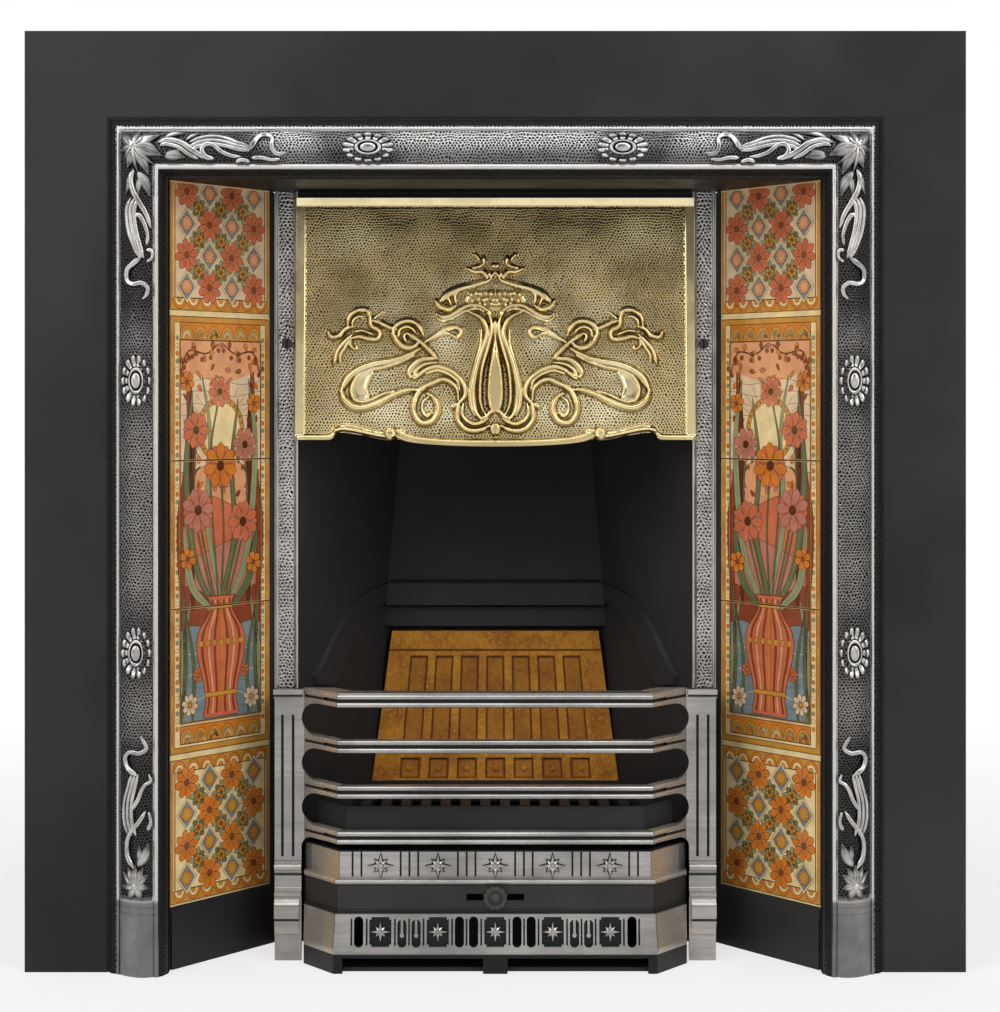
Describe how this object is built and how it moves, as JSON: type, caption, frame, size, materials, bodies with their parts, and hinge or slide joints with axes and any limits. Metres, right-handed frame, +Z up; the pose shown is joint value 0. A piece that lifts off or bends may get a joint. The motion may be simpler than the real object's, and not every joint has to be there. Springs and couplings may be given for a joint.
{
  "type": "cast iron tiled fireplace insert",
  "caption": "Cast iron fireplace insert with splayed tiled cheeks, a brass canopy, lift-off front bars, an ashpan cover with an air slide, a firebrick and a hinged damper.",
  "frame": {"origin": "bottom centre of the whole piece: on the hearth, midway across and midway between the front-most rosette and the back of the firebox", "axes": "+X to the viewer's right across the front, +Y back into the chimney, +Z up from the hearth"},
  "size_m": [0.965, 0.3998, 0.965],
  "materials": {
    "black_iron": "satin black grate polish on cast iron",
    "polished_iron": "highlight polished cast iron",
    "brass": "hammered, aged brass",
    "glazed_tile": "glazed ceramic tile, opaque",
    "fire_clay": "fired clay, matte and opaque",
    "steel_sheet": "plain dull steel sheet",
    "steel_rod": "plain dull steel rod"
  },
  "bodies": {
    "surround": {"surround_plate": "black_iron", "border_moulding": "polished_iron", "head_plate": "black_iron", "inner_head": "black_iron", "tile_cheek_left": "black_iron", "tile_cheek_right": "black_iron", "tile_tray_left": "steel_sheet", "tile_tray_right": "steel_sheet", "tile_left_1": "glazed_tile", "tile_left_2": "glazed_tile", "tile_left_3": "glazed_tile", "tile_left_4": "glazed_tile", "tile_left_5": "glazed_tile", "tile_right_1": "glazed_tile", "tile_right_2": "glazed_tile", "tile_right_3": "glazed_tile", "tile_right_4": "glazed_tile", "tile_right_5": "glazed_tile", "pilaster_left": "polished_iron", "pilaster_right": "polished_iron", "canopy": "brass", "canopy_screw_left": "steel_rod", "canopy_screw_right": "steel_rod", "firebox_cheek_left": "black_iron", "firebox_cheek_right": "black_iron", "fireback": "black_iron", "firebrick": "fire_clay", "floor_plate": "black_iron", "smoke_hood": "black_iron", "damper_pin": "steel_rod"},
    "damper": {"damper_flap": "black_iron"},
    "bottom_grate": {"bottom_grate": "black_iron"},
    "front_bars": {"front_bars": "polished_iron"},
    "ashpan_cover": {"ashpan_cover": "polished_iron"},
    "air_slide": {"air_slide": "steel_sheet", "air_knob": "black_iron"},
    "ash_pan": {"ash_pan": "steel_sheet", "ash_pan_handle": "steel_rod"}
  },
  "joints": [
    {"name": "damper_hinge", "type": "hinge", "parent": "surround", "child": "damper", "pos_m": [0, 0.01679, 0.78089], "axis": [1, 0, 0], "range_deg": [0, 60]},
    {"name": "grate_lift", "type": "slide", "parent": "surround", "child": "bottom_grate", "axis": [0, 0, 1], "range_m": [0, 0.08]},
    {"name": "bars_lift", "type": "slide", "parent": "surround", "child": "front_bars", "axis": [0, 0, 1], "range_m": [0, 0.08]},
    {"name": "cover_draw", "type": "slide", "parent": "surround", "child": "ashpan_cover", "axis": [0, -1, 0], "range_m": [0, 0.3]},
    {"name": "air_control", "type": "slide", "parent": "ashpan_cover", "child": "air_slide", "axis": [1, 0, 0], "range_m": [-0.026, 0.026]},
    {"name": "pan_draw", "type": "slide", "parent": "surround", "child": "ash_pan", "axis": [0, -1, 0], "range_m": [0, 0.24]}
  ],
  "couplings": [
    {"joint": "pan_draw", "follows": "cover_draw", "ratio": 0.8}
  ]
}
